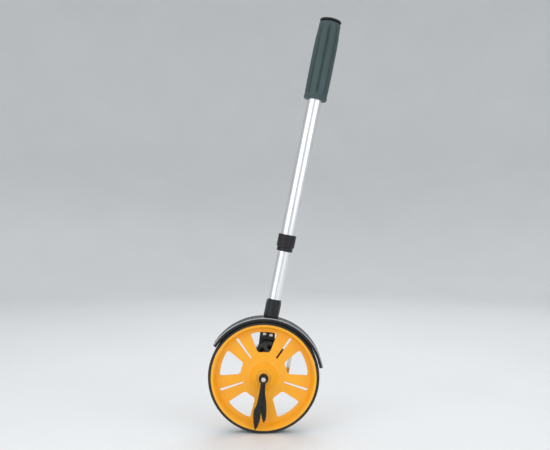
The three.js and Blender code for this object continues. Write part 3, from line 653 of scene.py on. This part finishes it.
def cross_screw(name, at, seat, out, head, height, shank, length):
    """A pan-head screw along y with a cross recess, its head on the side that out points to."""
    crown, shoulder, tip = seat + out * height, seat + out * height * 0.45, seat - out * length
    arm_half, arm_width, first_turn = head * 0.6, head * 0.13, 0.4
    body = lathe(name + "_fine", soften([
        (0, crown), (head * 0.55, crown, head * 0.5), (head, shoulder, head * 0.35),
        (head, seat, 0.1), (shank, seat), (shank, tip, 0.3), (0, tip)], closed=False), steps=40)
    arms = []
    for turn in (first_turn, first_turn + math.pi / 2):
        arm = slab("arm", rounded_box(-arm_half, arm_half, -arm_width, arm_width, 0.05, 2), [],
                   *sorted((crown + out, crown - out * height * 0.6)), 0.02, 1)
        arms.append(moved(arm, turn=turn))
    x, z = at
    body = moved(cut(body, *arms), x, 0, z)
    place(body, LEANING, "frame", "bright_steel", STEEL, name)


def build_screws():
    for side, at in zip(("left", "right"), GUARD_SCREWS):
        cross_screw(f"mudguard_screw_{side}", at, seat=12.2, out=-1,
                    head=3.0, height=1.7, shank=1.9, length=9.4)
    for number, at in enumerate(MOUNT_SCREWS, 1):
        cross_screw(f"counter_mount_screw_{number}", at, seat=15.5, out=-1,
                    head=2.8, height=1.6, shank=1.5, length=8.5)
    for number, at in enumerate(COVER_SCREWS, 1):
        cross_screw(f"cover_screw_{number}", at, seat=73.5, out=1,
                    head=2.2, height=1.5, shank=1.0, length=9.4)


# ------------------ mudguard and fork


def build_mudguard():
    """An arched channel with a rolled bead on each edge, and a tab that screws to the fork."""
    half = math.radians(68.5)
    shell = lathe("mudguard_shell", soften([
        (80.6, -14.0, 0.5), (83.2, -14.0), (84.0, -14.5, 0.4), (85.6, -14.5, 0.9), (85.9, -13.2, 0.7),
        (85.5, -11.8, 0.8), (85.5, 11.8, 0.8), (85.9, 13.2, 0.7), (85.6, 14.5, 0.9), (84.0, 14.5, 0.4),
        (83.2, 14.0), (80.6, 14.0, 0.5), (80.6, 12.6, 0.5), (83.5, 12.3, 1.0), (83.5, -12.3, 1.0),
        (80.6, -12.6, 0.5)]), steps=160, sweep=2 * half, start=-half)
    holes = [circle(GUARD_SCREW_HOLE, *at) for at in GUARD_SCREWS]
    tab = slab("tab", rounded_box(-16, 4, 50, 82.5, 4), holes, 12.5, 15.5, 0.5)
    place(join(shell, tab), LEANING, "frame", "black_plastic", GUARD, "mudguard", sharp=35)


def rivet_hole(x):
    """Cuts the lower tube and the fork's spigot for the rivet that joins them."""
    return drill(x, RIVET_Z, 1.8, 4, 12)


def build_fork():
    """The arm behind the wheel, the bridge over it, and the neck with the lower tube's spigot."""
    arm_front, arm_rear, arm_half, arm_top, shoulder, boss_radius = 15.8, 22.3, 11, 108, 60, 13
    left, right = HANDLE_X - arm_half, HANDLE_X + arm_half
    half_turn = [math.pi * (1 + step / 24) for step in range(25)]
    boss = [(boss_radius * math.cos(angle), boss_radius * math.sin(angle)) for angle in half_turn]
    sides = soften([(boss_radius, 0), (right, shoulder, 30), (right, arm_top, 3), (left, arm_top, 3),
                    (left, shoulder, 30), (-boss_radius, 0)], closed=False, steps=6)
    holes = [circle(AXLE_HOLE), circle(SHAFT_HOLE, 0, COUNTER_Z)]
    holes += [circle(GUARD_SCREW_HOLE, *at) for at in GUARD_SCREWS]
    holes += [circle(MOUNT_SCREW_HOLE, *at) for at in MOUNT_SCREWS]
    arm = slab("fork_casting", boss + sides[1:-1], holes, arm_front, arm_rear, 1.2, steps=4)
    bridge = slab("bridge", rounded_box(left + 0.4, right - 0.4, 90, arm_top - 0.4, 3), [], 0.2, 17.5, 0.8)
    neck = lathe("neck", soften([
        (0, 85.9), (9.2, 85.9, 0.5), (9.7, 86.6, 0.4), (9.7, 108.4, 0.3), (9.3, 108.8, 0.2),
        (9.3, 109.8, 0.2), (9.7, 110.2, 0.3), (9.7, 111.6, 0.5), (7.8, 111.6), (7.8, 135, 0.8), (0, 135)],
        closed=False), axis="Z", steps=96)
    moved(neck, HANDLE_X)
    pockets = [slab("pocket", rounded_box(HANDLE_X + low, HANDLE_X + high, 66, 103, 2.2), [], 19.8, 25, 0.4)
               for low, high in ((-8, -1.2), (1.2, 8))]
    fork = cut(join(arm, bridge, neck), *pockets, rivet_hole(HANDLE_X))
    place(fork, LEANING, "frame", "black_plastic", BLACK, "wheel_fork", sharp=35)


# ------------------ handle


def build_tubes():
    """The two tubes, the guide bush in the lower one's top and the rivet in its foot."""
    lower = lathe("lower_tube_fine", ring_profile(8.1, 9.0, 111.9, 430, 0.25), axis="Z", steps=128)
    place(cut(lower, rivet_hole(0)), HANDLE, "frame", "aluminium_tube", TUBE, "lower_tube")
    upper = lathe("upper_tube_fine", ring_profile(9.4, 10.3, 191.3, 516.9, 0.25), axis="Z", steps=128)
    place(upper, HANDLE, "upper_handle", "aluminium_tube", TUBE, "upper_tube")
    guide = lathe("tube_guide_bush_fine", soften([
        (0, 418.3), (7.8, 418.3, 1.2), (7.8, 430.3), (9.1, 430.3, 0.3), (9.1, 436.3, 0.8), (0, 436.3)],
        closed=False), axis="Z", steps=96)
    place(guide, HANDLE, "frame", "black_plastic", BLACK, "tube_guide_bush")
    rivet = lathe("lower_tube_rivet_fine", soften([
        (0, 10.6), (1.4, 10.6, 0.8), (2.8, 9.6, 0.8), (2.8, 9.2, 0.2), (1.5, 9.2), (1.5, 4.3), (0, 4.3)],
        closed=False), steps=48)
    place(moved(rivet, 0, 0, RIVET_Z), HANDLE, "frame", "bright_steel", STEEL, "lower_tube_rivet")


def build_collar():
    """The fluted lock nut, the thread bush inside it and the slit collet under it."""
    ribs, depth, nut = 26, 0.45, 12.75
    flutes_low, flutes_high = 189.4, 204.8

    def fluted(radius, along, angle):
        if radius < nut - depth or not flutes_low < along < flutes_high:
            return radius
        return radius - depth * max(0.0, math.cos(ribs * angle)) ** 3

    body = [(10.6, 187.9, 0.3), (12.0, 187.9, 0.5), (nut, 188.8, 0.5), (nut, 189.2)]
    body += [(nut, 189.5 + 15.2 * step / 10) for step in range(11)]
    body += [(nut, 205.1), (nut, 206.3, 0.8), (11.8, 206.3, 0.2), (11.8, 189.4), (10.6, 189.4, 0.2)]
    lock_nut = lathe("lock_nut_fine", soften(body), axis="Z", steps=ribs * 12, reshape=fluted)
    place(lock_nut, HANDLE, "lock_nut", "black_plastic", BLACK, "lock_nut")
    bush = lathe("thread_bush_fine", ring_profile(10.6, 11.5, 191.3, 206.3, 0.2), axis="Z", steps=64)
    place(bush, HANDLE, "upper_handle", "black_plastic", BLACK, "thread_bush")
    ring = lathe("collet_fine", soften([
        (9.3, 182, 0.3), (11.2, 182, 0.5), (11.4, 182.8, 0.3), (11.4, 187.6, 0.2), (10.3, 187.6),
        (10.3, 189.7), (11.4, 189.7, 0.2), (11.4, 191.0, 0.2), (9.3, 191.0, 0.2)]), axis="Z", steps=96)
    slit = slab("slit", rounded_box(-0.5, 0.5, 180, 193, 0.1, 1), [], 0, 13, 0.01, 1)
    place(cut(ring, slit), HANDLE, "upper_handle", "black_plastic", BLACK, "collet")


def build_grip():
    """A swelling rubber sleeve with eight flutes that run out near its ends, and its end cap."""
    flutes, depth, half_width, run_out = 8, 1.9, 2.1, 4
    low, high, bore_limit = 404.0, 517.0, 14.2

    def fluted(radius, along, angle):
        if radius < bore_limit:
            return radius
        across = ((angle * flutes / TURN + 0.5) % 1 - 0.5) * TURN / flutes * radius
        if abs(across) > half_width:
            return radius
        rise = min(1.0, max(0.0, (along - low - 5.5) / run_out))
        fall = min(1.0, max(0.0, (high - 5.0 - along) / run_out))
        shape = math.cos(across / half_width * math.pi / 2) ** 0.7
        return radius - depth * shape * min(rise, fall)

    body = [(10.6, low, 0.4), (14.6, low, 1.0), (16.5, low + 0.4, 1.2), (16.9, low + 3.4, 0.6),
            (16.2, low + 4.4, 0.5)]
    for step in range(25):
        share = step / 24
        swell = 0.65 * math.sin(math.pi * min(1.0, share * 1.15)) ** 0.6
        taper = 0.9 * max(0.0, share - 0.8) / 0.2
        body.append((16.35 + swell - taper, low + 5.6 + share * (high - low - 9.4)))
    body += [(15.2, high - 2.2, 1.2), (13.8, high - 0.2, 1.0), (10.6, high, 0.4)]
    grip = lathe("grip_fine", soften(body), axis="Z", steps=320, reshape=fluted)
    place(grip, HANDLE, "upper_handle", "grip_rubber", GRIP, "grip", sharp=50)
    cap = lathe("grip_end_cap_fine", soften([
        (0, 500), (9.0, 500, 0.4), (9.0, 517.5), (15.2, 517.5, 0.5), (15.6, 518.6, 0.5),
        (15.3, 520.2, 0.9), (13.6, 520.7, 0.6), (12.2, 520.7, 0.3), (11.7, 520.1, 0.3), (6.0, 520.1, 0.3),
        (5.4, 520.7, 0.3), (0, 520.7)], closed=False), axis="Z", steps=96)
    place(cap, HANDLE, "upper_handle", "black_plastic", BLACK, "grip_end_cap")


# ------------------ gears and counter


def gear_outline(module, teeth, phase):
    """Straight-sided teeth with soft corners, the first one turned by phase from the top."""
    pitch = module * teeth / 2
    root, crown = pitch - 1.2 * module, pitch + 0.85 * module
    tooth_corners = ((root, -0.72, 0.2), (crown, -0.28, 0.12), (crown, 0.28, 0.12), (root, 0.72, 0.2))
    corners = []
    for tooth in range(teeth):
        for radius, across, soft in tooth_corners:
            angle = phase + tooth * TURN / teeth + across * module / radius
            corners.append((-radius * math.sin(angle), radius * math.cos(angle), soft * module))
    return soften(corners, steps=2)


def build_gears():
    """The drive gear on the hub, and the counter's gear, twice its size, with six round windows."""
    module, teeth, window_reach = 1, 20, 11.5
    drive = slab("drive_gear_fine", gear_outline(module, teeth, 0), [circle(7.3, steps=48)],
                 GEAR_FRONT, GEAR_REAR, 0.1, 1)
    place(drive, ROLLING @ Matrix.Rotation(LEAN, 4, "Y"), "wheel", "black_acetal", BLACK_ACETAL,
          "drive_gear")
    angles = [TURN * window / 6 for window in range(6)]
    holes = [circle(3.4, window_reach * math.sin(angle), window_reach * math.cos(angle)) for angle in angles]
    outline = gear_outline(module, 2 * teeth, TURN / (4 * teeth))
    rim = slab("counter_gear_fine", outline, holes + [circle(SHAFT_HOLE)], GEAR_FRONT, GEAR_REAR, 0.1, 1)
    hub = lathe("hub", ring_profile(SHAFT_HOLE, 4.2, 9.6, 15.2, 0.4), steps=48)
    gear = moved(join(rim, hub), 0, 0, COUNTER_Z)
    place(gear, LEANING, "counter_drive", "black_acetal", BLACK_ACETAL, "counter_gear")


def digit_strip(name, front, surface, slot, body):
    """The digits 0 to 9 round a drum, raised by a hair."""
    height, raised, same_point = 5.4, 0.06, 1e-5
    cuts = [step * height / 10 for step in range(-6, 7)]
    work = bmesh.new()
    for digit in range(10):
        text = bpy.data.curves.new(name, "FONT")
        text.body = str(digit)
        text.align_x, text.align_y = "CENTER", "CENTER"
        text.size, text.extrude, text.resolution_u = height * 1.35, raised, 3
        glyph = bpy.data.objects.new(name, text)
        bpy.context.scene.collection.objects.link(glyph)
        graph = bpy.context.evaluated_depsgraph_get()
        mesh = bpy.data.meshes.new_from_object(glyph.evaluated_get(graph))
        bpy.data.objects.remove(glyph)
        part = bmesh.new()
        part.from_mesh(mesh)
        bmesh.ops.remove_doubles(part, verts=part.verts, dist=same_point)
        for level in cuts:
            geometry = part.verts[:] + part.edges[:] + part.faces[:]
            bmesh.ops.bisect_plane(part, geom=geometry, plane_co=(0, level, 0), plane_no=(0, 1, 0))
        bmesh.ops.triangulate(part, faces=part.faces)
        for vertex in part.verts:
            along, up, out = vertex.co
            angle = -digit * TURN / 10 - up / DRUM_RADIUS
            radius = DRUM_RADIUS + raised + out
            vertex.co = (radius * math.sin(angle), front + DRUM_BAND / 2 + along, radius * math.cos(angle))
        part.to_mesh(mesh)
        part.free()
        work.from_mesh(mesh)
    mesh = bpy.data.meshes.new(name)
    work.to_mesh(mesh)
    work.free()
    strip = bpy.data.objects.new(name, mesh)
    bpy.context.scene.collection.objects.link(strip)
    place(moved(strip, 0, 0, COUNTER_Z), LEANING, body, slot, surface)


def build_drum(name, front, surface, slot, body, digit_surface, digit_slot, carry=None):
    """One drum with its strip of digits, and its carry ring where it drives the next drum."""
    drum = lathe(f"{name}_fine", ring_profile(SHAFT_HOLE, DRUM_RADIUS, front, front + DRUM_BAND, 0.25),
                 steps=96)
    if carry:
        drum = join(drum, carry)
    place(moved(drum, 0, 0, COUNTER_Z), LEANING, body, slot, surface, name)
    digit_strip(f"{name}_digits", front, digit_surface, digit_slot, body)


def build_counter_train():
    """Four free drums, each with a carry ring and a transfer pinion, then the red tenths drum."""
    module, drum_teeth, pinion_teeth, gear_end = 0.8, 20, 8, 2.2
    for index, order in enumerate(DRUMS):
        front = DRUM_FIRST + index * DRUM_PITCH
        seam = front + DRUM_BAND
        carry = slab("carry", gear_outline(module, drum_teeth, 0), [circle(SHAFT_HOLE + 0.1)],
                     seam - 0.4, seam + gear_end, 0.08, 1)
        build_drum(f"drum_{order}", front, DRUM_WHITE, "drum_white", f"drum_{order}",
                   DIGIT_BLACK, "black_plastic", carry)
        name = f"transfer_pinion_{index + 1}"
        pinion = slab(f"{name}_fine", gear_outline(module, pinion_teeth, TURN / (2 * pinion_teeth)),
                      [circle(PINION_HOLE, steps=24)], seam + 0.4, seam + gear_end, 0.08, 1)
        place(moved(pinion, PINION_X, 0, COUNTER_Z), LEANING, f"pinion_{order}", "white_acetal", ACETAL,
              name)
    build_drum("drum_tenths", DRUM_FIRST + len(DRUMS) * DRUM_PITCH, DRUM_RED, "drum_red", "counter_drive",
               DIGIT_WHITE, "drum_white")


def build_counter_shafts():
    for name, radius, x, front, body in (
            ("counter_shaft", 1.5, 0, GEAR_FRONT, "counter_drive"),
            ("pinion_shaft", 1.0, PINION_X, 23.5, "frame")):
        shaft = lathe(name + "_fine", rod_profile(radius, front, CASE_REAR + 1.3, 0.2), steps=32)
        place(moved(shaft, x, 0, COUNTER_Z), LEANING, body, "bright_steel", STEEL, name)


def case_outline():
    return rounded_box(CASE_LEFT, CASE_RIGHT, CASE_BOTTOM, CASE_TOP, 3)


def build_counter_case():
    """A box open at the rear, with an ear for the lever and a bezel round the window's opening."""
    wall, reach = 2, 4.2
    case = slab("counter_case_fine", case_outline(), [], CASE_FRONT, CASE_REAR, 0.9, 4)
    ear = slab("ear", soften([
        (16, LEVER_Z - reach, 1), (LEVER_X, LEVER_Z - reach, 4), (LEVER_X + reach, LEVER_Z, 4),
        (LEVER_X, LEVER_Z + reach, 4), (16, LEVER_Z + reach, 1)]), [], 29, 32, 0.4)
    bezel = slab("bezel", rounded_box(-8, 8, 23.6, 70.6, 2.2), [rounded_box(-6.8, 6.8, 24.7, 69.7, 1.2)],
                 -1.6, 0.5, 0.4)
    room = rounded_box(CASE_LEFT + wall, CASE_RIGHT - wall, CASE_BOTTOM + wall, CASE_TOP - wall, 5, 4)
    inside = slab("inside", room, [], CASE_FRONT + 1.8, CASE_REAR + 2, 0.4)
    opening = slab("opening", rounded_box(-4.5, 4.5, 26, 68.4, 1), [], -6, 6, 0.02, 1)
    holes = [drill(0, COUNTER_Z, SHAFT_HOLE, 21, 26), drill(PINION_X, COUNTER_Z, PINION_HOLE, 23.2, 26),
             drill(LEVER_X, LEVER_Z, LEVER_HOLE, 28, 33)]
    holes += [drill(*at, MOUNT_SCREW_HOLE, 21, 26) for at in MOUNT_SCREWS]
    holes += [drill(*at, COVER_SCREW_HOLE, CASE_REAR - 8, CASE_REAR + 2) for at in COVER_SCREWS]
    box = join(case, ear, laid_flat(bezel, CASE_TOP))
    body = cut(box, inside, laid_flat(opening, CASE_TOP - 1), *holes)
    place(body, LEANING, "frame", "black_plastic", BLACK, "counter_case", sharp=35)


def build_counter_cover():
    """The case's end plate, with a shallow recess outside and blind sockets inside for the shafts."""
    holes = [circle(COVER_SCREW_HOLE, *at) for at in COVER_SCREWS]
    cover = slab("counter_cover_fine", case_outline(), holes, CASE_REAR + 0.3, CASE_REAR + 2.8, 0.8, 4)
    recess = slab("recess", rounded_box(-6.5, 11.5, 22, 38, 2), [], CASE_REAR + 2.2, CASE_REAR + 4, 0.15)
    sockets = [drill(x, COUNTER_Z, radius, CASE_REAR - 1, CASE_REAR + 1.55)
               for x, radius in ((0, SHAFT_HOLE), (PINION_X, PINION_HOLE))]
    place(cut(cover, recess, *sockets), LEANING, "frame", "black_plastic", BLACK, "counter_cover", sharp=35)


def build_counter_window():
    glass = slab("counter_window_fine", rounded_box(-6.5, 6.5, 25, 69.4, 1.0), [], -1.6, 0, 0.3)
    place(laid_flat(glass, CASE_TOP + 0.3), LEANING, "frame", "window_clear", CLEAR, "counter_window")


def build_reset_lever():
    """A bent bar that hangs from an eye on the pivot pin."""
    front, rear, eye_radius = 23.2, 25.2, 4.2
    left, right, bottom = 31, 36, 4.2
    arm = slab("reset_lever_fine", soften([
        (LEVER_X, LEVER_Z - 2.5, 0.8), (left, LEVER_Z - 7, 4), (left, bottom, 2.2), (right, bottom, 2.2),
        (right, LEVER_Z - 2.5, 5), (LEVER_X, LEVER_Z + 2.5, 0.8)]), [], front, rear, 0.4, 4)
    eye = lathe("eye", ring_profile(LEVER_HOLE, eye_radius, front, rear, 0.4), steps=48)
    bore = drill(LEVER_X, LEVER_Z, LEVER_HOLE, 20, 28, steps=48)
    lever = cut(join(arm, moved(eye, LEVER_X, 0, LEVER_Z)), bore)
    place(lever, LEANING, "reset_lever", "nickel_plate", NICKEL, "reset_lever")
    pin = lathe("reset_pivot_pin_fine", soften([
        (0, 21.4), (2.0, 21.4, 0.6), (2.8, 22.2, 0.4), (2.8, 22.9, 0.2), (1.5, 22.9), (1.5, 33.0, 0.4),
        (0, 33.0)], closed=False), steps=40)
    place(moved(pin, LEVER_X, 0, LEVER_Z), LEANING, "frame", "bright_steel", STEEL, "reset_pivot_pin")


def build_reset_spring():
    """A coil of round wire round the pivot pin."""
    turns, samples, sides = 3.0, 96, 10
    wire, coil, first, rise = 0.35, 2.9, 26.0, 2.2
    vertices, faces = [], []
    for sample in range(samples + 1):
        angle = TURN * turns * sample / samples
        for side in range(sides):
            across = coil + wire * math.cos(TURN * side / sides)
            along = first + rise * sample / samples + wire * math.sin(TURN * side / sides)
            vertices.append((across * math.sin(angle), along, across * math.cos(angle)))
    for sample in range(samples):
        low, high = sample * sides, (sample + 1) * sides
        for side in range(sides):
            after = (side + 1) % sides
            faces.append((low + side, low + after, high + after, high + side))
    faces += [list(range(sides)), list(range(samples * sides, (samples + 1) * sides))]
    spring = new_piece("reset_spring_fine", vertices, faces)
    place(moved(spring, LEVER_X, 0, LEVER_Z), LEANING, "frame", "bright_steel", STEEL, "reset_spring")


# ------------------ studio


def build_floor():
    """A pale bowl, drawn in metres: flat round the object, and curving up far from it on all sides."""
    n = Nodes("studio_floor")
    pale = n.mixed(n.spread(n.noise(3, 3), 0.3, 0.7), (0.80, 0.81, 0.81), (0.77, 0.78, 0.785))
    curve = soften([(0, 0), (2.2, 0, 1.2), (3.4, 0.9, 1.0), (3.8, 3.2)], closed=False, steps=24)
    bowl = lathe("studio_floor", curve, axis="Z", steps=128)
    bowl.data.materials.append(n.finish(pale, 0.6))
    for face in bowl.data.polygons:
        face.use_smooth = True


def build_lights():
    """An even, slightly cool surround and four soft boxes round the object, in metres and watts."""
    world = bpy.data.worlds.new("studio")
    world.use_nodes = True
    background = world.node_tree.nodes["Background"]
    background.inputs["Color"].default_value = (0.93, 0.96, 1.0, 1)
    background.inputs["Strength"].default_value = 0.62
    bpy.context.scene.world = world
    middle = Vector((0.04, 0, 0.3))
    for name, spot, size, power in (
            ("softbox_left", (-1.0, -1.15, 0.88), (1.6, 1.5), 11),
            ("softbox_right", (1.1, -1.1, 0.85), (1.6, 1.5), 9.5),
            ("softbox_top", (0.0, 0.1, 1.9), (1.8, 1.2), 9),
            ("softbox_back", (0.3, 1.3, 1.6), (1.4, 1.0), 7)):
        lamp = bpy.data.lights.new(name, "AREA")
        lamp.shape = "RECTANGLE"
        lamp.size, lamp.size_y = size
        lamp.energy = power
        light = bpy.data.objects.new(name, lamp)
        light.location = spot
        light.rotation_euler = (middle - Vector(spot)).to_track_quat("-Z", "Y").to_euler()
        light.visible_camera = False
        bpy.context.scene.collection.objects.link(light)


def build_camera():
    """Square on to the stand-leg side, as in the photograph, and framed on the CAD box."""
    low, high = Vector(CAD_BOX[0]), Vector(CAD_BOX[1])
    aim = (low + high) / 2
    aim.y = 0
    lens = bpy.data.cameras.new("camera")
    lens.sensor_width = 36
    distance, margin = 0.92, 1.09
    frame_width, frame_height = 550, 450
    tall = (high.z - low.z) * margin
    lens.lens = lens.sensor_width * frame_height / frame_width * distance / tall
    camera = bpy.data.objects.new("camera", lens)
    camera.location = aim + Vector((0, -distance, 0))
    camera.rotation_euler = (math.pi / 2, 0, 0)
    bpy.context.scene.collection.objects.link(camera)
    bpy.context.scene.camera = camera


build_camera()
build_wheel()
build_tyre()
build_bushes()
build_axle()
build_leg(LONG_LEG)
build_leg(SHORT_LEG)
build_screws()
build_mudguard()
build_fork()
build_tubes()
build_collar()
build_grip()
build_gears()
build_counter_train()
build_counter_shafts()
build_counter_case()
build_counter_cover()
build_counter_window()
build_reset_lever()
build_reset_spring()
build_floor()
build_lights()
bpy.context.scene.view_settings.view_transform = "Standard"
